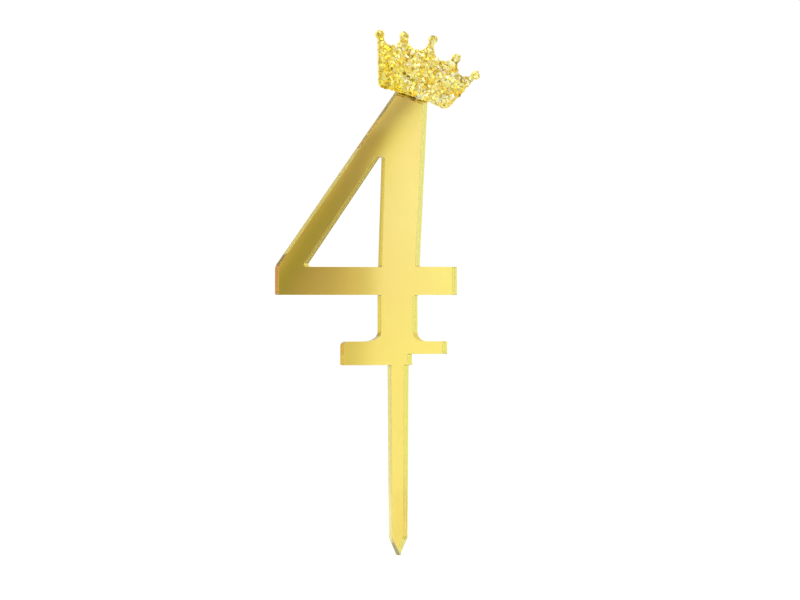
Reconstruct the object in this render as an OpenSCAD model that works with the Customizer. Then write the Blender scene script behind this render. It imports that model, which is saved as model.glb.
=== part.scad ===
// Cake topper: a laser-cut numeral 4 with its stake, and a glitter crown glued to its top.
// Millimetres. +Z is up, +X is to the reader's right, and the front faces -Y.
// The origin is where the stake's axis meets the cake's surface, midway through the sheet.

/* [Numeral] */
// Height of the numeral above the cake
number_h = 85; // [76:1:110]
// From the stake's axis to the crossbar's left end
bar_left = 39.2; // [34:0.2:46]
// From the stake's axis to the crossbar's right end
bar_right = 18.6; // [14:0.1:24]
// Height of the crossbar's underside above the cake
bar_z = 21; // [18:0.5:26]
// Height of the crossbar
bar_h = 8.5; // [6:0.1:11]
// Width of the stem under the crossbar
stem_w = 11.8; // [10:0.1:14]
// Level width of the sloping stroke at the crossbar
slope_w = 8.9; // [7:0.1:11]
// How far the stem's right edge has leaned out at the top
stem_flare = 2.9; // [0:0.1:4]

/* [Foot] */
// From the stake's axis to the foot's left end
foot_left = 18.2; // [14:0.2:24]
// From the stake's axis to the foot's right end
foot_right = 15.4; // [11:0.1:20]
// Height of the foot
foot_h = 7.1; // [6:0.1:10]
// Height of the foot's underside on the right of the stem
serif_z = 3.3; // [1.5:0.1:4.5]

/* [Stake] */
// Length of the stake below the cake's surface
stake_len = 57; // [40:0.5:80]
// Width of the stake at the cake's surface
stake_w = 5.6; // [5:0.1:8]
// Width of the stake where its point starts
stake_end_w = 4.9; // [3:0.1:5]
// Length of the stake's point
point_len = 5.2; // [3:0.1:10]

/* [Sheet] */
// Thickness of the clear tinted sheet
plate_t = 2.8; // [1.5:0.1:5]
// Thickness of the mirror layer on its back
mirror_t = 0.1; // [0.05:0.01:0.2]
// Thickness of the paint that protects the mirror
coat_t = 0.1; // [0.05:0.01:0.2]

/* [Crown] */
// Width between the centres of the outer balls
crown_w = 33.4; // [28:0.2:40]
// Height of the middle ball's centre above the crown's base
crown_h = 18.8; // [15:0.1:22]
// Width of the crown's base
crown_base_w = 22.8; // [20:0.1:26]
// Rise of the arch in the crown's base
base_arch = 0.5; // [0:0.1:1.5]
// How much lower the base's left corner is than its right corner
base_skew = 1.5; // [0:0.1:2]
// Radius of the balls on the tips
ball_r = 1.15; // [1:0.05:1.6]
// Width of the neck under each ball
neck_w = 1.7; // [1.2:0.1:2.2]
// Clockwise tilt of the crown
crown_tilt = 20.5; // [0:0.5:25]
// From the stake's axis to the middle of the crown's base
crown_x = 3.4; // [2:0.1:5]
// Height of the number's top above the middle of the crown's base
crown_drop = 4.95; // [4:0.05:6]
// Thickness of the crown's foam
foam_t = 1.6; // [1:0.1:3]
// Thickness of the glitter on the foam's front
glitter_t = 0.5; // [0.3:0.05:0.8]
// Thickness of the glue between the crown and the numeral
glue_t = 0.4; // [0.2:0.05:0.8]

/* [Hidden] */
$fn = 64;

// Faces of the sheet, from the front to the back. The whole sheet is centred on Y = 0.
sheet_t = plate_t + mirror_t + coat_t;
front_y = -sheet_t / 2;
mirror_y = front_y + plate_t;
coat_y = mirror_y + mirror_t;

// The stem: its left side under the crossbar, then its two sides above the crossbar.
stem_left = -stem_w / 2 - 0.2;
stem_right = stem_w / 2 - 0.2;
bar_top = bar_z + bar_h;
upper_right = stem_right + 0.7;
flare_right = upper_right + stem_flare;
upper_left = stem_left + 0.2;

// The sloping stroke runs from the crossbar's top left corner to the numeral's top.
top_left = flare_right - 7.4;
slope = (top_left + bar_left) / (number_h - bar_top);

// The triangular hole: how far its two long sides lean for each millimetre of height.
// The sloping stroke narrows a little towards its top.
hole_lean = 0.033;
hole_slope = slope - 0.018;
hole_left = -bar_left + slope_w;
apex_up = (upper_left - hole_left) / (hole_slope - hole_lean);
hole_z = bar_top - 0.1;
apex = [upper_left + hole_lean * apex_up, hole_z + apex_up];

// A small step is left beside the stake, under the stem.
step_w = 1.1;

// Each corner is [x, z, how far its rounding reaches before it, and how far after it].
number_corners = [
    [stem_left, bar_z, 0.3, 0.3],
    [stem_left, foot_h, 2.7, 5.2],
    [-foot_left, foot_h, 1.4, 1.4],
    [-foot_left, 0, 0.2, 0.2],
    [-stake_w / 2, 0, 0.3, 0.3],
    [-stake_end_w / 2, point_len - stake_len, 0.6, 0.6],
    [0, -stake_len, 0.1, 0.1],
    [stake_end_w / 2, point_len - stake_len, 0.6, 0.6],
    [stake_w / 2, 0, 0.3, 0.3],
    [stake_w / 2 + step_w, 0, 0.15, 0.15],
    [stake_w / 2 + step_w, serif_z, 0.2, 0.2],
    [foot_right, serif_z, 0.2, 0.2],
    [foot_right, foot_h, 0.2, 0.2],
    [stem_right, foot_h, 3, 2.8],
    [stem_right, bar_z, 0.3, 0.3],
    [bar_right, bar_z, 0.25, 0.25],
    [bar_right, bar_top, 0.25, 0.25],
    [upper_right, bar_top, 0.3, 0.3],
    [flare_right, number_h, 0.4, 0.4],
    [top_left, number_h, 0.4, 0.4],
    [-bar_left, bar_top, 1.2, 1],
    [-bar_left, bar_z, 0.3, 0.3],
];
hole_corners = [
    [hole_left, hole_z, 1.4, 1.4],
    [apex.x, apex.y, 3.4, 3.4],
    [upper_left, hole_z, 0.4, 0.4],
];

// The crown, in its own plane: x along its base from the middle, y up from the base.
tip_drop = 2.5;
inner_tip_x = 0.273 * crown_w;
tips = [
    [-crown_w / 2, crown_h - 2 * tip_drop],
    [-inner_tip_x, crown_h - tip_drop],
    [0, crown_h],
    [inner_tip_x, crown_h - tip_drop],
    [crown_w / 2, crown_h - 2 * tip_drop],
];
side_top = [crown_w / 2 + 0.4, crown_h - 2 * tip_drop];
crown_corners = [
    [-crown_base_w / 2, -base_skew / 2, 1.2, 1.2],
    [0, 2 * base_arch, crown_base_w / 3, crown_base_w / 3],
    [crown_base_w / 2, base_skew / 2, 1.8, 1.8],
    [side_top.x, side_top.y, 0.2, 0.2],
    [inner_tip_x, crown_h - tip_drop, 0.1, 0.1],
    [0, crown_h, 0.1, 0.1],
    [-inner_tip_x, crown_h - tip_drop, 0.1, 0.1],
    [-side_top.x, side_top.y, 0.2, 0.2],
];
crown_z = number_h - crown_drop;
foam_y = front_y - glue_t - foam_t;
glitter_y = foam_y - glitter_t;

// Glue dots, in the crown's plane: [x, y, radius]. The last one squeezes out under the crown.
glue_spots = [[-1.2, 2, 1.4], [3, 3.4, 1.1], [2.3, 1, 1.1]];

// The point at t, from 0 to 1, of the arc that rounds a corner from start to end.
function arc_point(start, corner, end, bend, t) =
    let (a = (1 - t) * (1 - t), b = 2 * bend * t * (1 - t), c = t * t)
    (a * start + b * corner + c * end) / (a + b + c);

// One rounded corner: an arc of a circle, or of an ellipse where its two reaches differ.
corner_steps = 8;
function rounded_corner(before, corner, after) =
    let (
        p = [corner.x, corner.y],
        towards = (p - [before.x, before.y]) / norm(p - [before.x, before.y]),
        onwards = ([after.x, after.y] - p) / norm([after.x, after.y] - p),
        bend = sqrt((1 + towards * onwards) / 2)
    )
    [for (i = [0:corner_steps])
        arc_point(p - corner[2] * towards, p, p + corner[3] * onwards, bend, i / corner_steps)];

// A closed outline with all its corners rounded.
function rounded(corners) =
    let (n = len(corners))
    [for (i = [0:n - 1])
        each rounded_corner(corners[(i + n - 1) % n], corners[i], corners[(i + 1) % n])];

// Stands a flat outline upright, t thick, with its front at y.
module upright(y, t) {
    translate([0, y + t, 0])
        rotate([90, 0, 0])
            linear_extrude(height = t)
                children();
}

// The numeral, its foot and its stake: one outline, cut in one pass.
module number_shape() {
    difference() {
        polygon(rounded(number_corners));
        polygon(rounded(hole_corners));
    }
}

// Puts a shape drawn in the crown's plane at its place on the numeral.
module on_crown() {
    translate([crown_x, crown_z])
        rotate(-crown_tilt)
            children();
}

// A crown with scooped valleys between balls on narrow necks.
module crown_shape() {
    difference() {
        polygon(rounded(crown_corners));
        for (i = [0:len(tips) - 2])
            translate((tips[i] + tips[i + 1]) / 2)
                circle(r = (norm(tips[i + 1] - tips[i]) - neck_w) / 2);
    }
    for (tip = tips)
        translate(tip)
            circle(r = ball_r);
}

module number_plate() {
    color("gold", 0.55)
        upright(front_y, plate_t)
            number_shape();
}

module mirror_film() {
    color("khaki")
        upright(mirror_y, mirror_t)
            number_shape();
}

module back_coat() {
    color("darkkhaki")
        upright(coat_y, coat_t)
            number_shape();
}

module crown_foam() {
    color("goldenrod")
        upright(foam_y, foam_t)
            on_crown()
                crown_shape();
}

module crown_glitter() {
    color("gold")
        upright(glitter_y, glitter_t)
            on_crown()
                crown_shape();
}

module glue_dots() {
    color("ivory")
        upright(front_y - glue_t, glue_t)
            on_crown()
                for (spot = glue_spots)
                    translate([spot[0], spot[1]])
                        circle(r = spot[2]);
}

number_plate();
mirror_film();
back_coat();
crown_foam();
crown_glitter();
glue_dots();
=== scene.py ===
import math
import random

import bmesh
import bpy
from mathutils import Matrix, Vector, noise


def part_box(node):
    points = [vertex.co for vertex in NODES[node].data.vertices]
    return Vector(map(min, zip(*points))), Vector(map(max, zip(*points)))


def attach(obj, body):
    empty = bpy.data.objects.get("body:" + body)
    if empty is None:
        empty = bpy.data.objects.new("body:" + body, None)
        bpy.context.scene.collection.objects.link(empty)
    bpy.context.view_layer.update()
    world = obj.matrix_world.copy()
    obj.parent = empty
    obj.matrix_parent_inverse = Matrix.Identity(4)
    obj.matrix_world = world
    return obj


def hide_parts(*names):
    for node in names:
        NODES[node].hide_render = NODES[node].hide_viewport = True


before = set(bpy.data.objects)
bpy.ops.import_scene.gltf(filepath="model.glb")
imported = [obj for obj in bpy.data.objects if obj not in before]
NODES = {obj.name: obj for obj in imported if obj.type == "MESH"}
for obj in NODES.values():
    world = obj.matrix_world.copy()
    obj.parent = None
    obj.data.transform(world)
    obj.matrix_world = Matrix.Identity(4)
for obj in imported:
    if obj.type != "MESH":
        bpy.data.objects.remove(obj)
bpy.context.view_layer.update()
SCENE = bpy.context.scene
MM = 0.001

TIP_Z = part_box("number_plate")[0].z
glitter_low, glitter_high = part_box("crown_glitter")
glue_low, glue_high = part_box("glue_dots")


# ---------------------------------------------------------------- node trees and materials

class Tree:
    """A short way to write a node tree: each call makes one node and joins its inputs."""

    def __init__(self, owner):
        owner.use_nodes = True
        self.tree = owner.node_tree
        self.tree.nodes.clear()

    def add(self, kind, settings=None, **inputs):
        """One node. An input is named in the call, with _ for a space, or is _0, _1 and so on."""
        made = self.tree.nodes.new(kind)
        for name, value in (settings or {}).items():
            setattr(made, name, value)
        for name, value in inputs.items():
            place = name.strip("_").replace("_", " ")
            self.put(made.inputs[int(place) if place.isdigit() else place], value)
        return made

    def put(self, socket, value):
        if isinstance(value, bpy.types.NodeSocket):
            self.tree.links.new(value, socket)
        elif isinstance(value, bpy.types.Node):
            self.tree.links.new(value.outputs[0], socket)
        else:
            socket.default_value = value

    def math(self, operation, *values, clamp=False):
        made = self.add("ShaderNodeMath", {"operation": operation, "use_clamp": clamp})
        for socket, value in zip(made.inputs, values):
            self.put(socket, value)
        return made.outputs[0]

    def scaled(self, value, factor, offset):
        """value * factor + offset."""
        return self.math("MULTIPLY_ADD", value, factor, offset)

    def rise(self, value, start, end):
        """0 at start and 1 at end, in a straight line between them and level outside."""
        span = end - start
        return self.math("MULTIPLY_ADD", value, 1 / span, -start / span, clamp=True)

    def mix(self, share, a, b, kind="MIX"):
        made = self.add("ShaderNodeMix", {"data_type": "RGBA", "blend_type": kind})
        for socket, value in ((made.inputs[0], share), (made.inputs[6], a), (made.inputs[7], b)):
            self.put(socket, value)
        return made.outputs[2]

    def ramp(self, value, stops):
        """A colour that changes in straight lines between stops, each (position, colour)."""
        made = self.add("ShaderNodeValToRGB", Fac=value)
        elements = made.color_ramp.elements
        while len(elements) < len(stops):
            elements.new(0.5)
        for element, (position, colour) in zip(elements, stops):
            element.position = position
            element.color = (*colour, 1)
        return made.outputs[0]

    def cloud(self, value, one, other):
        """A noise turned into a soft mix of two colours."""
        return self.ramp(value, [(0.3, one), (0.7, other)])

    def noise(self, vector, scale, detail=3.0, roughness=0.5):
        made = self.add("ShaderNodeTexNoise", Vector=vector, Scale=scale, Detail=detail, Roughness=roughness)
        return made.outputs[0]

    def place(self):
        return self.add("ShaderNodeTexCoord").outputs["Object"]

    def split(self, vector):
        return self.add("ShaderNodeSeparateXYZ", Vector=vector).outputs

    def stretched(self, vector, scale):
        return self.add("ShaderNodeMapping", Vector=vector, Scale=scale).outputs[0]

    def bump(self, height, distance):
        return self.add("ShaderNodeBump", Height=height, Distance=distance).outputs[0]

    def surface(self, shader, volume=None):
        out = self.add("ShaderNodeOutputMaterial")
        self.put(out.inputs["Surface"], shader.outputs[0])
        if volume is not None:
            self.put(out.inputs["Volume"], volume.outputs[0])


def grey(value):
    return (value, value, value)


def new_material(name):
    made = bpy.data.materials.new(name)
    return made, Tree(made)


def only_material(obj, made):
    for slot in obj.material_slots:
        slot.material = made
    if not obj.material_slots:
        obj.data.materials.append(made)


# ---------------------------------------------------------------- meshes and edges

def new_object(name, data):
    obj = bpy.data.objects.new(name, data)
    SCENE.collection.objects.link(obj)
    return obj


def object_from(name, bm):
    """Turns a finished bmesh into an object."""
    mesh = bpy.data.meshes.new(name)
    bm.to_mesh(mesh)
    bm.free()
    return new_object(name, mesh)


WELD = 0.001 * MM
SMOOTH_ANGLE = math.radians(32)
FLAT_ANGLE = math.radians(0.5)
SHARP_ANGLE = math.radians(50)


def smooth_group():
    """Shades a mesh smooth, apart from edges that turn more than the angle."""
    tree = bpy.data.node_groups.new("smooth_by_angle", "GeometryNodeTree")
    tree.interface.new_socket("Geometry", in_out="INPUT", socket_type="NodeSocketGeometry")
    tree.interface.new_socket("Geometry", in_out="OUTPUT", socket_type="NodeSocketGeometry")
    n, links = tree.nodes, tree.links
    start, end = n.new("NodeGroupInput"), n.new("NodeGroupOutput")
    faces, edges = n.new("GeometryNodeSetShadeSmooth"), n.new("GeometryNodeSetShadeSmooth")
    edges.domain = "EDGE"
    angle, compare = n.new("GeometryNodeInputMeshEdgeAngle"), n.new("FunctionNodeCompare")
    compare.data_type, compare.operation = "FLOAT", "LESS_THAN"
    compare.inputs[1].default_value = SMOOTH_ANGLE
    links.new(start.outputs[0], faces.inputs[0])
    links.new(faces.outputs[0], edges.inputs[0])
    links.new(angle.outputs[0], compare.inputs[0])
    links.new(compare.outputs[0], edges.inputs["Shade Smooth"])
    links.new(edges.outputs[0], end.inputs[0])
    return tree


SMOOTH = smooth_group()


def finish_edges(obj, bevel, segments=2):
    """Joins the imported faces, rounds the sharp edges by the bevel and shades the rest smooth."""
    weld = obj.modifiers.new("weld", "WELD")
    weld.merge_threshold = WELD
    flat = obj.modifiers.new("flat_faces", "DECIMATE")
    flat.decimate_type, flat.angle_limit = "DISSOLVE", FLAT_ANGLE
    if bevel:
        edge = obj.modifiers.new("edge", "BEVEL")
        edge.width, edge.segments, edge.limit_method = bevel, segments, "ANGLE"
        edge.angle_limit, edge.use_clamp_overlap = SHARP_ANGLE, False
        edge.miter_outer = "MITER_ARC"
    smooth = obj.modifiers.new("smooth", "NODES")
    smooth.node_group = SMOOTH
    normals = obj.modifiers.new("normals", "WEIGHTED_NORMAL")
    normals.keep_sharp, normals.weight = True, 100


# ---------------------------------------------------------------- camera

AZIMUTH = math.radians(-23)
CAMERA_FAR = 1.6667
AIM = Vector((0.0006, 0, 0.0195))
TOWARDS = Vector((math.sin(AZIMUTH), -math.cos(AZIMUTH), 0))

camera = bpy.data.cameras.new("camera")
camera.lens, camera.sensor_width = 250, 36
camera.clip_start, camera.clip_end = 0.05, 30
viewer = new_object("camera", camera)
viewer.location = AIM + TOWARDS * CAMERA_FAR
viewer.rotation_euler = TOWARDS.to_track_quat("Z", "Y").to_euler()
SCENE.camera = viewer


# ---------------------------------------------------------------- studio

SCENE.view_settings.view_transform = "Standard"
SCENE.cycles.max_bounces = 28
SCENE.cycles.glossy_bounces = 24
SCENE.cycles.transmission_bounces = 28

world = bpy.data.worlds.new("studio")
SCENE.world = world
t = Tree(world)
room = t.add("ShaderNodeBackground", Color=(1, 1, 1, 1), Strength=1.04)
t.put(t.add("ShaderNodeOutputWorld").inputs["Surface"], room.outputs[0])


def disc(name, radius, z, sides=96):
    bm = bmesh.new()
    bmesh.ops.create_circle(bm, cap_ends=True, segments=sides, radius=radius,
                            matrix=Matrix.Translation((0, 0, z)))
    return object_from(name, bm)


def floor_material():
    made, t = new_material("floor")
    tint = t.cloud(t.noise(t.place(), 6, 4), grey(0.96), grey(0.97))
    t.surface(t.add("ShaderNodeBsdfPrincipled", Base_Color=tint, Roughness=0.7))
    return made


floor = disc("floor", 6, TIP_Z)
only_material(floor, floor_material())

LIGHT_AIM = Vector((0, 0, 0.03))


def area_light(name, place, side, watts):
    """A square light that faces the object."""
    light = bpy.data.lights.new(name, "AREA")
    light.size, light.energy = side, watts
    obj = new_object(name, light)
    obj.location = place
    obj.rotation_euler = (Vector(place) - LIGHT_AIM).to_track_quat("Z", "Y").to_euler()


area_light("key", (-0.7, -0.9, 0.9), 0.6, 1.6)
area_light("top", (0.3, 0.2, 1.2), 0.8, 2.4)


# ---------------------------------------------------------------- cards that only reflections see

def card_mesh(name, x0, x1, low, high, at, flat=False):
    """An upright card at y = at, or a flat one at z = at. The camera never sees it itself."""
    bm = bmesh.new()
    corners = []
    for x, other in ((x0, low), (x1, low), (x1, high), (x0, high)):
        corners.append(bm.verts.new((x, other, at) if flat else (x, at, other)))
    bm.faces.new(corners)
    made = object_from(name, bm)
    made.visible_camera = made.visible_diffuse = made.visible_shadow = False
    return made


def emission(t, colour):
    return t.add("ShaderNodeEmission", Color=colour, Strength=1.0)


# The front card is what the mirror shows. What the camera sees at x on the numeral's face lies on
# the card at x * (1 + CARD_RATIO) + CARD_SHIFT.
CARD_FAR = 0.5
CARD_RATIO = CARD_FAR / (CAMERA_FAR * math.cos(AZIMUTH))
CARD_SHIFT = CARD_FAR * math.tan(-AZIMUTH)

# A dark fold runs parallel to the sloping stroke, and the light grows from it to the stem. These
# places are in millimetres on the numeral's face, as the camera sees the card in it.
FOLD_X, FOLD_Z = -36.8, 26
FOLD_LEAN = 0.708
BEND_Z, BEND_LEAN = 68, 0.15
LIT_X, LIT_LEAN = -5.2, 0.03
FOOT_Z, FOOT_DEEP, FOOT_LEAN = 20, 20, 0.08
LEAST_SPAN = 7.3
# Colours by their share of the way from the fold's darkest line, at 0, to the lit part, at 1. They
# go on past it to the end.
SHARE_END = 1.7
LOW_FOLD = [
    (0.0, (0.35, 0.33, 0.13)),
    (0.12, (0.38, 0.33, 0.20)),
    (0.33, (0.49, 0.405, 0.29)),
    (0.52, (0.55, 0.475, 0.35)),
    (0.68, (0.67, 0.58, 0.45)),
    (0.84, (0.735, 0.69, 0.56)),
    (0.93, (0.87, 0.84, 0.75)),
    (1.0, (0.965, 0.95, 0.95)),
    (1.15, (0.985, 0.98, 0.98)),
    (1.5, (1.015, 1.035, 1.0)),
    (1.7, (1.03, 1.09, 1.0)),
]
HIGH_FOLD = [
    (0.0, (0.39, 0.315, 0.21)),
    (0.18, (0.425, 0.365, 0.22)),
    (0.36, (0.56, 0.505, 0.29)),
    (0.53, (0.685, 0.65, 0.41)),
    (0.71, (0.78, 0.75, 0.52)),
    (0.89, (0.87, 0.885, 0.62)),
    (1.07, (0.90, 0.92, 0.64)),
    (1.23, (0.935, 0.922, 0.70)),
    (1.41, (0.98, 0.96, 0.82)),
    (1.6, (1.01, 0.99, 0.90)),
]
LOW_RIM, HIGH_RIM = (0.95, 0.66, 0.42, 1), (1.15, 1.0, 0.5, 1)
WHITE = (1, 1, 1, 1)
# Heights over which the upper fold takes over, the top is lifted and the level changes.
UPPER_ZONE, TOP_ZONE, LEVEL_ZONE = (45, 62), (68, 72), (-55, 85)
TOP_LIFT = 0.16
LEVELS = [
    (0.0, (1.08, 1.05, 0.91)),
    (0.3, (1.09, 1.045, 0.93)),
    (0.42, (1.09, 1.06, 0.93)),
    (0.55, (1.07, 1.02, 1.0)),
    (0.78, (1.07, 1.03, 1.24)),
]
# Distances to the left of the darkest line over which the rim and then the side fold take over.
RIM_ZONE, SIDE_ZONE = (-1.3, -10.3), (-8, -58)
# The side fold, in metres on the card, and its colours across and upwards.
SIDE_LEAN, SIDE_SPAN = -0.55, (-0.14, 0.10)
SIDE_FOLD = [
    (0.0, (0.96, 1.12, 1.10)),
    (0.2, (0.75, 0.62, 0.42)),
    (0.36, (0.45, 0.38, 0.22)),
    (0.62, (0.85, 0.77, 0.60)),
    (0.8, (1.0, 1.0, 1.05)),
]
DUSK = [(0.12, grey(1)), (0.2, (0.48, 0.39, 0.30))]
# The room past the lit part, and the bright strip above, in metres on the card.
LIT_MIDDLE, LIT_EDGE, ROOM_GLOW = 0.02, (0.34, 0.44), (0.55, 0.50, 0.40, 1)
STRIP = [(0.32, grey(0)), (0.37, grey(1)), (0.48, grey(1)), (0.52, grey(0))]
STRIP_GLOW = (2.6, 2.6, 2.6, 1)


def face_place(t, card_x, card_z):
    """Where on the numeral's face the camera sees each point of the card, in millimetres."""
    to_mm = 1 / (MM * (1 + CARD_RATIO))
    x = t.scaled(card_x, to_mm, -CARD_SHIFT * to_mm)
    z = t.scaled(card_z, to_mm, CARD_RATIO * AIM.z * to_mm)
    return x, z


def fold_lines(t, z):
    """Where the fold's darkest line and the start of the lit part are at each height."""
    dark_x = t.scaled(z, FOLD_LEAN, FOLD_X - FOLD_LEAN * FOLD_Z)
    # Near the top the dark line bends towards the stem.
    high = t.math("MAXIMUM", t.math("SUBTRACT", z, BEND_Z), 0)
    dark_x = t.scaled(high, BEND_LEAN, dark_x)
    # Down to the foot the lit part reaches further to the left.
    lit_x = t.scaled(t.math("SUBTRACT", z, FOLD_Z), LIT_LEAN, LIT_X)
    under_bar = t.math("MINIMUM", t.math("SUBTRACT", z, FOOT_Z), 0)
    lit_x = t.scaled(t.math("MAXIMUM", under_bar, -FOOT_DEEP), FOOT_LEAN, lit_x)
    return dark_x, t.math("MAXIMUM", lit_x, t.math("ADD", dark_x, LEAST_SPAN))


def fold_ramp(t, share, stops):
    return t.ramp(share, [(at / SHARE_END, colour) for at, colour in stops])


def side_fold(t, card_x, card_z):
    """A second, softer fold straight ahead, for the views from the front."""
    ahead = t.ramp(t.rise(t.scaled(card_z, SIDE_LEAN, card_x), *SIDE_SPAN), SIDE_FOLD)
    return t.mix(1.0, ahead, t.ramp(card_z, DUSK), "MULTIPLY")


def fold_colour(t, card_x, card_z):
    x, z = face_place(t, card_x, card_z)
    dark_x, lit_x = fold_lines(t, z)
    past = t.math("SUBTRACT", x, dark_x)
    share = t.math("DIVIDE", past, t.math("SUBTRACT", lit_x, dark_x))
    share = t.math("MULTIPLY", share, 1 / SHARE_END)
    upper = t.rise(z, *UPPER_ZONE)
    fold = t.mix(upper, fold_ramp(t, share, LOW_FOLD), fold_ramp(t, share, HIGH_FOLD))
    fold = t.mix(t.math("MULTIPLY", t.rise(z, *TOP_ZONE), TOP_LIFT), fold, WHITE)
    # To the left of the darkest line it is lighter again.
    fold = t.mix(t.rise(past, *RIM_ZONE), fold, t.mix(upper, LOW_RIM, HIGH_RIM))
    fold = t.mix(t.rise(past, *SIDE_ZONE), fold, side_fold(t, card_x, card_z))
    # All of it changes a little from the stake's tip to the numeral's top.
    return t.mix(1.0, fold, t.ramp(t.rise(z, *LEVEL_ZONE), LEVELS), "MULTIPLY")


def front_card_material():
    made, t = new_material("front_card")
    spread = t.split(t.place())
    card_x, card_z = spread["X"], spread["Z"]
    glow = fold_colour(t, card_x, card_z)
    # Past the lit part the room is darker, with a bright strip above. Both give the glitter its life.
    wide = t.math("ABSOLUTE", t.math("SUBTRACT", card_x, LIT_MIDDLE))
    glow = t.mix(t.rise(wide, *LIT_EDGE), glow, ROOM_GLOW)
    glow = t.mix(t.ramp(card_z, STRIP), glow, STRIP_GLOW)
    t.surface(emission(t, glow))
    return made


card = card_mesh("front_card", -0.7, 0.9, TIP_Z, 0.7, -CARD_FAR)
only_material(card, front_card_material())

LEFT_SHADE = [
    (0.15, (0.42, 0.35, 0.22)),
    (0.45, (0.62, 0.54, 0.42)),
    (0.68, (1.05, 1.0, 0.95)),
    (0.8, grey(1)),
]


def low_card_material():
    """Warm and shaded to the left, and faded out towards its edges."""
    made, t = new_material("low_card")
    place = t.place()
    spot = t.split(place)
    cloud = t.cloud(t.noise(place, 8, 2), (1.0, 0.92, 0.75), (1.05, 0.98, 0.81))
    slant = t.scaled(spot["Y"], 0.15, spot["X"])
    shade = t.ramp(t.rise(slant, -0.5, 0.0), LEFT_SHADE)
    cloud = t.mix(1.0, cloud, shade, "MULTIPLY")
    from_middle = t.math("ABSOLUTE", t.math("SUBTRACT", spot["X"], 0.1))
    side_fade, near_fade = t.rise(from_middle, 0.6, 0.4), t.rise(spot["Y"], -0.75, -0.55)
    fade = t.math("MULTIPLY", side_fade, near_fade)
    t.surface(t.add("ShaderNodeMixShader", _0=fade, _1=t.add("ShaderNodeBsdfTransparent"),
                    _2=emission(t, cloud)))
    return made


# This card lies on the floor in front of the object and gives the floor its tone in reflections.
low_card = card_mesh("low_card", -0.5, 0.7, -0.002, -0.75, TIP_Z + 0.4 * MM, flat=True)
only_material(low_card, low_card_material())


def cloudy_card_material(name, scale, one, other):
    made, t = new_material(name)
    t.surface(emission(t, t.cloud(t.noise(t.place(), scale, 2), one, other)))
    return made


# A dark, warm card behind and to the left. The cut edges mirror it at a grazing angle.
side_card = card_mesh("side_card", -0.6, -0.03, TIP_Z, 0.5, 0.4)
side_card.visible_transmission = False
only_material(side_card, cloudy_card_material("side_card", 6, (0.36, 0.33, 0.16), (0.44, 0.40, 0.20)))

# A duller card behind. The sloping stroke's upper edge shows it through the clear sheet.
stroke_card = card_mesh("stroke_card", -0.02, 0.1, 0.031, 0.105, 0.12)
stroke_card.visible_glossy = False
only_material(stroke_card, cloudy_card_material("stroke_card", 20, (0.72, 0.64, 0.68), (0.80, 0.72, 0.76)))


# ---------------------------------------------------------------- the sheet

def tinted_acrylic():
    """Clear tinted acrylic: smooth faces with faint scratches, and cut walls with a light frost."""
    made, t = new_material("tinted_acrylic")
    place = t.place()
    normal = t.add("ShaderNodeNewGeometry").outputs["True Normal"]
    wall = t.math("LESS_THAN", t.math("ABSOLUTE", t.split(normal)["Y"]), 0.5)
    striation = t.noise(t.stretched(place, (1, 0.04, 1)), 4200, 2, 0.6)
    ripple = t.noise(t.stretched(place, (1, 0.1, 1)), 600, 2, 0.5)
    cut = t.math("MULTIPLY", t.math("ADD", t.math("MULTIPLY", striation, 0.4), ripple), wall)
    haze = t.noise(place, 90, 4, 0.6)
    scratches = t.noise(t.stretched(place, (1, 1, 14)), 1100, 1, 0.4)
    # Wear from faint scratches, in the roughness only.
    wear_and_shade = t.math("MULTIPLY", t.math("MULTIPLY", haze, scratches), 0.03)
    rough = t.math("ADD", t.math("MULTIPLY", wall, 0.13), wear_and_shade)
    body = t.add("ShaderNodeBsdfPrincipled", Base_Color=WHITE, Roughness=rough, IOR=1.49,
                 Transmission_Weight=1.0, Normal=t.bump(cut, 0.0002 * MM))
    shade = t.cloud(striation, (0.66, 0.74, 0.33), (0.76, 0.84, 0.40))
    frost = t.add("ShaderNodeBsdfPrincipled", Roughness=0.6, Base_Color=shade)
    frosted = t.add("ShaderNodeMixShader", _0=t.math("MULTIPLY", wall, 0.12), _1=body, _2=frost)
    tint = t.add("ShaderNodeVolumeAbsorption", Color=(0.985, 0.895, 0.086, 1), Density=175)
    t.surface(frosted, tint)
    return made


def mirror_metal():
    made, t = new_material("mirror_film")
    place = t.place()
    wave = t.noise(place, 45, 1, 0.4)
    spots = t.ramp(t.noise(place, 500, 4, 0.6), [(0.35, (0.905, 0.84, 0.455)), (0.7, (0.925, 0.86, 0.485))])
    t.surface(t.add("ShaderNodeBsdfPrincipled", Base_Color=spots, Metallic=1.0, Roughness=0.04,
                    Normal=t.bump(wave, 0.02 * MM)))
    return made


def back_paint():
    made, t = new_material("back_paint")
    place = t.place()
    grain = t.noise(place, 2500, 3, 0.6)
    shade = t.cloud(t.noise(place, 60, 5, 0.6), (0.235, 0.205, 0.16), (0.29, 0.255, 0.2))
    t.surface(t.add("ShaderNodeBsdfPrincipled", Base_Color=shade,
                    Roughness=t.cloud(grain, grey(0.5), grey(0.65)), Normal=t.bump(grain, 0.01 * MM)))
    return made


only_material(NODES["number_plate"], tinted_acrylic())
finish_edges(NODES["number_plate"], 0.045 * MM)

film = NODES["mirror_film"]
only_material(film, mirror_metal())
finish_edges(film, 0)
# The film is shown a hair further back, clear of the face that the clear sheet has there.
gap = film.modifiers.new("gap", "DISPLACE")
gap.direction, gap.mid_level, gap.strength = "Y", 0, 0.02 * MM

only_material(NODES["back_coat"], back_paint())
finish_edges(NODES["back_coat"], 0.03 * MM, 1)


# ---------------------------------------------------------------- the crown's foam

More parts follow.
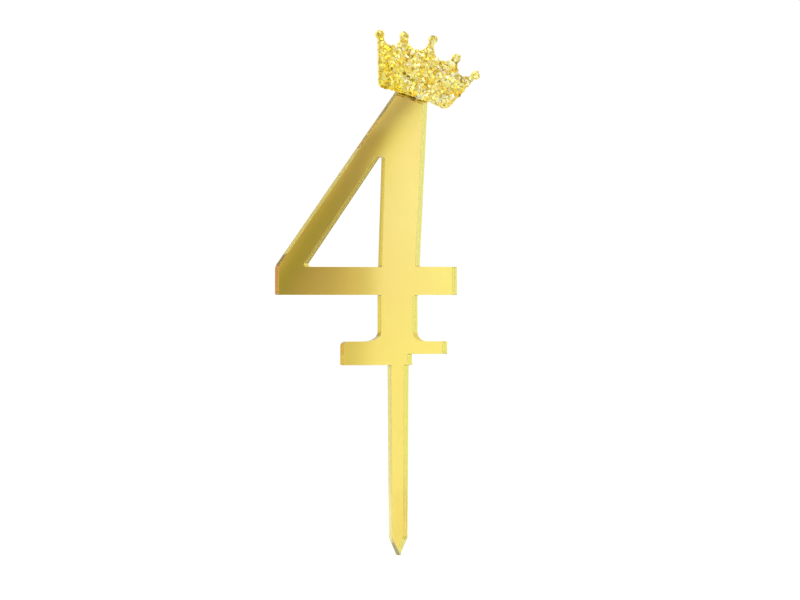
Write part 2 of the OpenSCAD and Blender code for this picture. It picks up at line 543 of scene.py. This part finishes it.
def eva_foam():
    made, t = new_material("eva_foam")
    place = t.place()
    cells = t.add("ShaderNodeTexVoronoi", {"feature": "SMOOTH_F1"}, Vector=place, Scale=5200, Smoothness=0.3)
    shade = t.cloud(t.noise(place, 300, 4, 0.6), (0.90, 0.70, 0.22), (0.96, 0.80, 0.32))
    t.surface(t.add("ShaderNodeBsdfPrincipled", Base_Color=shade, Roughness=0.8,
                    Normal=t.bump(cells.outputs["Distance"], 0.03 * MM)))
    return made


only_material(NODES["crown_foam"], eva_foam())
finish_edges(NODES["crown_foam"], 0.4 * MM, 3)


# ---------------------------------------------------------------- outlines of CAD nodes

def front_outline(obj):
    """The loops of points round a CAD node's front face, as (x, z), from its own mesh."""
    bm = bmesh.new()
    bm.from_mesh(obj.data)
    bmesh.ops.remove_doubles(bm, verts=bm.verts, dist=WELD)
    bm.normal_update()
    joins = {}
    for edge in bm.edges:
        front = [f for f in edge.link_faces if f.normal.y < -0.9]
        if len(front) == 1 and len(edge.link_faces) == 2:
            a, b = edge.verts
            joins.setdefault(a.index, []).append(b.index)
            joins.setdefault(b.index, []).append(a.index)
    places = {v.index: (v.co.x, v.co.z) for v in bm.verts}
    bm.free()
    loops, left = [], set(joins)
    while left:
        here = min(left)
        loop, before = [], None
        while here in left:
            left.discard(here)
            loop.append(places[here])
            after = [k for k in joins[here] if k != before and k in left]
            before, here = here, (after[0] if after else None)
        loops.append(loop)
    return loops


def sides_of(loop):
    """Each side of a closed loop, as its start and end."""
    return zip(loop, loop[1:] + loop[:1])


def inside(loops, x, z):
    """True if (x, z) lies inside the outline."""
    crossings = 0
    for loop in loops:
        for (x0, z0), (x1, z1) in sides_of(loop):
            if (z0 > z) != (z1 > z) and x < x0 + (z - z0) / (z1 - z0) * (x1 - x0):
                crossings += 1
    return crossings % 2 == 1


def nearest_edge(loops, x, z):
    """How far (x, z) is from the outline, and the way out of it."""
    here, best, way = Vector((x, z)), math.inf, Vector((0, 1))
    for loop in loops:
        for start, end in sides_of(loop):
            a, b = Vector(start), Vector(end)
            along = b - a
            share = max(0, min(1, (here - a).dot(along) / max(along.length_squared, 1e-15)))
            gap = a + along * share - here
            if gap.length < best:
                best, way = gap.length, gap
    return best, way.normalized() if way.length else Vector((0, 1))


# ---------------------------------------------------------------- the crown's glitter

# Flake colours and how often each is drawn.
GOLDS = [
    ((0.96, 0.80, 0.17), 30),
    ((0.99, 0.90, 0.32), 22),
    ((0.90, 0.90, 0.26), 7),
    ((1.00, 0.98, 0.56), 14),
    ((0.88, 0.68, 0.10), 14),
    ((0.66, 0.48, 0.05), 5),
    ((0.34, 0.25, 0.05), 4),
    ((0.95, 0.58, 0.05), 5),
]
PALEST = (0.98, 0.96, 0.68)
PATCH_SIZE = 3.5 * MM
CLUMP_SIZE = 1.1 * MM
CLUMP_LAYER = 9 * MM
CLUMP_MEAN, CLUMP_SWING = 1.03, 0.45
# Painted light: flakes are drawn paler to the right of the middle and on the tips, and random patches add to
# it.
PALE_MIDDLE, PALE_PATCHES, PALE_TIPS, TIPS_START = 0.45, 0.9, 1.2, 0.72
# How much the painted shade along the crown's lower left edge darkens and warms the flakes.
PAINTED_SHADE_DARKER, PAINTED_SHADE_WARMER = 0.3, 1.1
PALE_GREEN, PALE_BLUE = 0.10, 0.95
FLAKE_THICK = 0.03 * MM
# The die rounds the crown's front edge, so flakes there lean outwards and sit back.
EDGE_SOFT, EDGE_LEAN, EDGE_SINK = 0.6 * MM, 0.55, 0.12 * MM
BED_DEEP = 0.18 * MM
dice = random.Random(4)
outline = front_outline(NODES["crown_glitter"])


def flake(bm, tint, centre, radius, normal, colour):
    """One thin hexagonal flake."""
    up = normal.normalized()
    side = up.orthogonal().normalized()
    side.rotate(Matrix.Rotation(dice.uniform(0, math.tau), 3, up))
    other = up.cross(side)
    rings = []
    for lift in (-FLAKE_THICK / 2, FLAKE_THICK / 2):
        ring = []
        for k in range(6):
            angle = k * math.tau / 6
            offset = (side * math.cos(angle) + other * math.sin(angle)) * radius
            ring.append(bm.verts.new(centre + offset + up * lift))
        rings.append(ring)
    low, high = rings
    faces = [bm.faces.new(low[::-1]), bm.faces.new(high)]
    for k in range(6):
        faces.append(bm.faces.new((low[k], low[(k + 1) % 6], high[(k + 1) % 6], high[k])))
    for face in faces:
        for corner in face.loops:
            corner[tint] = (*colour, 1)


def pick_gold(x, z, near, way):
    """A flake's colour, with painted light: warmer to the left and paler to the right and on the tips, and
    in soft random patches.
    """
    colours, weights = zip(*GOLDS)
    base = dice.choices(colours, weights)[0]
    across = (x - glitter_low.x) / (glitter_high.x - glitter_low.x)
    patch = noise.noise(Vector((x, z, 0)) / PATCH_SIZE)
    clump = CLUMP_MEAN + CLUMP_SWING * noise.noise(Vector((x, z, CLUMP_LAYER)) / CLUMP_SIZE)
    up = (z - glitter_low.z) / (glitter_high.z - glitter_low.z)
    # Paleness is painted light towards the right and on the tips, plus the random patches.
    pale = across - PALE_MIDDLE + PALE_PATCHES * patch + PALE_TIPS * max(0, up - TIPS_START)
    # Painted shade: the flakes along the lower left edge are drawn darker and warmer, and none of the palest
    # are used there.
    wear_and_shade = near * max(0, -way.y) * max(0, 1 - 2 * across)
    clump *= 1 - PAINTED_SHADE_DARKER * wear_and_shade
    pale -= PAINTED_SHADE_WARMER * wear_and_shade
    shift = (1, 1 + PALE_GREEN * pale, 1 + PALE_BLUE * pale)
    return tuple(max(0, min(most, c * k * clump * dice.uniform(0.95, 1.05)))
                 for c, k, most in zip(base, shift, PALEST))


def tilted(limit):
    """A normal that leans from straight ahead by a random angle."""
    lean = math.radians(limit) * math.sqrt(dice.random())
    turn = dice.uniform(0, math.tau)
    return Vector((math.sin(lean) * math.cos(turn), -math.cos(lean), math.sin(lean) * math.sin(turn)))


def lay_flake(bm, tint, at, size, normal, near, way):
    """Adds a flake no further forward than the crown's own front."""
    x, y, z = at
    reach = size * math.hypot(normal.x, normal.z) + FLAKE_THICK
    place = Vector((x, max(y, glitter_low.y + reach), z))
    flake(bm, tint, place, size, normal, pick_gold(x, z, near, way))


def scatter(bm, tint, pitch, depth, sizes, lean, keep=1.0):
    """Lays flakes on a jittered grid all over the crown, centred at that depth."""
    row, z = 0, glitter_low.z
    while z < glitter_high.z:
        x = glitter_low.x + (row % 2) * pitch / 2
        while x < glitter_high.x:
            at = (x + dice.uniform(-0.5, 0.5) * pitch, z + dice.uniform(-0.5, 0.5) * pitch)
            chance, normal, size = dice.random(), tilted(lean), dice.uniform(*sizes)
            y = depth + dice.uniform(-0.04, 0.04) * MM
            if chance < keep and inside(outline, *at):
                gap, way = nearest_edge(outline, *at)
                near = max(0, 1 - gap / EDGE_SOFT)
                normal = (normal + Vector((way.x, 0, way.y)) * EDGE_LEAN * near).normalized()
                y += EDGE_SINK * near * near
                lay_flake(bm, tint, (at[0], y, at[1]), size, normal, near, way)
            x += pitch
        z += pitch * math.sqrt(3) / 2
        row += 1


def fringe(bm, tint, step, sizes):
    """Lays flakes that stick out a little all round the crown's edge."""
    for loop in outline:
        walked = 0
        for start, end in sides_of(loop):
            a, b = Vector(start), Vector(end)
            walked += (b - a).length
            if walked < step:
                continue
            walked = dice.uniform(-0.3, 0.3) * step
            middle = (a + b) / 2
            out = Vector((b.y - a.y, a.x - b.x)).normalized()
            if inside(outline, *(middle + out * 0.05 * MM)):
                out = -out
            at = middle + out * dice.uniform(-0.15, 0.12) * MM
            normal = Vector((out.x, 0, out.y)) * dice.uniform(0.1, 1) + tilted(20)
            depth = glitter_high.y - dice.uniform(-0.15, 0.3) * MM
            lay_flake(bm, tint, (at.x, depth, at.y), dice.uniform(*sizes), normal.normalized(), 1, out)


def all_flakes():
    bm = bmesh.new()
    tint = bm.loops.layers.float_color.new("flake")
    back = glitter_high.y
    scatter(bm, tint, pitch=0.69 * MM, depth=back - 0.20 * MM, sizes=(0.42 * MM, 0.60 * MM), lean=12)
    scatter(bm, tint, pitch=0.96 * MM, depth=back - 0.32 * MM, sizes=(0.42 * MM, 0.66 * MM), lean=22,
            keep=0.9)
    fringe(bm, tint, step=0.5 * MM, sizes=(0.22 * MM, 0.4 * MM))
    return object_from("glitter_flakes", bm)


def flake_metal():
    made, t = new_material("glitter_flake")
    colour = t.add("ShaderNodeAttribute", {"attribute_name": "flake"}).outputs["Color"]
    rough = t.cloud(t.noise(t.place(), 3000, 2), grey(0.22), grey(0.36))
    t.surface(t.add("ShaderNodeBsdfPrincipled", Base_Color=colour, Metallic=1.0, Roughness=rough))
    return made


flakes = all_flakes()
only_material(flakes, flake_metal())
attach(flakes, "root")
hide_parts("crown_glitter")


def thin_bed():
    """The layer under the flakes: the CAD's glitter with its front moved back."""
    bm = bmesh.new()
    bm.from_mesh(NODES["crown_glitter"].data)
    bmesh.ops.remove_doubles(bm, verts=bm.verts, dist=WELD)
    for v in bm.verts:
        if v.co.y < (glitter_low.y + glitter_high.y) / 2:
            v.co.y = glitter_high.y - BED_DEEP
    return object_from("glitter_bed", bm)


def bed_gold():
    made, t = new_material("glitter_bed")
    dust = t.add("ShaderNodeTexVoronoi", Vector=t.place(), Scale=3800).outputs
    shade = t.ramp(dust["Color"], [(0.2, (0.42, 0.28, 0.03)), (0.8, (0.85, 0.64, 0.10))])
    t.surface(t.add("ShaderNodeBsdfPrincipled", Base_Color=shade, Metallic=0.6, Roughness=0.35,
                    Normal=t.bump(dust["Distance"], 0.05 * MM)))
    return made


bed = thin_bed()
only_material(bed, bed_gold())
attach(bed, "root")
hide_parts("crown_glitter")


# ---------------------------------------------------------------- the glue

# A hair's gap keeps the glue's faces clear of the sheet's front and the foam's back.
HAIR = 0.01 * MM
# Each dot is drawn in by this share at its waist, over this many steps from back to front.
WAIST, DOT_STEPS = 0.14, 6
# The dot at the crown's lower edge is drawn smaller and higher, with its squeezed drop to the left.
EDGE_DOT_SHARE, EDGE_DOT_LIFT = 0.8, 0.25 * MM
DROP_LEFT, DROP_LIFT = 0.6 * MM, 0.45 * MM
DROP_WIDE, DROP_HIGH, DROP_STEPS = 0.95, 0.8, 12


def add_lathe(bm, centre, profile, sides=28):
    """A round solid about the sheet's normal through centre. The profile is (y, radius x, radius z)."""
    rings = []
    for y, rx, rz in profile:
        rings.append([bm.verts.new((centre[0] + rx * math.cos(k * math.tau / sides), y,
                                    centre[1] + rz * math.sin(k * math.tau / sides)))
                      for k in range(sides)])
    for back_ring, front_ring in zip(rings, rings[1:]):
        for k in range(sides):
            n = (k + 1) % sides
            bm.faces.new((back_ring[k], back_ring[n], front_ring[n], front_ring[k]))
    bm.faces.new(rings[0][::-1])
    bm.faces.new(rings[-1])


def glue_spots():
    """The middle and radius of each of the CAD's glue dots."""
    spots = []
    for loop in front_outline(NODES["glue_dots"]):
        middle = (sum(p[0] for p in loop) / len(loop), sum(p[1] for p in loop) / len(loop))
        spots.append((middle, math.hypot(loop[0][0] - middle[0], loop[0][1] - middle[1])))
    return spots


def add_dot(bm, middle, radius):
    back, front = glue_high.y - HAIR, glue_low.y + HAIR
    profile = []
    for k in range(DOT_STEPS + 1):
        share = k / DOT_STEPS
        r = radius * (1 - WAIST * math.sin(math.pi * share))
        profile.append((back + (front - back) * share, r, r))
    add_lathe(bm, middle, profile)


def add_drop(bm, middle, radius):
    """The drop that has squeezed out and wraps round the crown's lower edge."""
    back, front = glue_low.y + 0.2 * MM, glitter_low.y - 0.08 * MM
    profile = []
    for k in range(1, DROP_STEPS):
        turn = math.pi * k / DROP_STEPS
        y = (back + front) / 2 + (back - front) / 2 * math.cos(turn)
        profile.append((y, DROP_WIDE * radius * math.sin(turn), DROP_HIGH * radius * math.sin(turn)))
    add_lathe(bm, (middle[0] - DROP_LEFT, middle[1] + DROP_LIFT), profile)


def all_glue():
    bm = bmesh.new()
    spots = glue_spots()
    squeezed, squeezed_radius = min(spots, key=lambda spot: spot[0][1])
    for middle, radius in spots:
        if middle == squeezed:
            add_dot(bm, (middle[0], middle[1] + EDGE_DOT_LIFT), EDGE_DOT_SHARE * radius)
        else:
            add_dot(bm, middle, radius)
    add_drop(bm, squeezed, squeezed_radius)
    bmesh.ops.recalc_face_normals(bm, faces=bm.faces)
    for face in bm.faces:
        face.smooth = len(face.verts) == 4
    return object_from("glue_beads", bm)


def set_glue():
    made, t = new_material("clear_glue")
    milk = t.noise(t.place(), 1500, 3, 0.6)
    shade = t.cloud(milk, (0.84, 0.76, 0.46), (0.93, 0.87, 0.62))
    rough = t.cloud(milk, grey(0.05), grey(0.16))
    t.surface(t.add("ShaderNodeBsdfPrincipled", Base_Color=shade, Roughness=rough, IOR=1.47,
                    Transmission_Weight=0.35, Normal=t.bump(milk, 0.03 * MM)))
    return made


beads = all_glue()
only_material(beads, set_glue())
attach(beads, "root")
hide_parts("glue_dots")
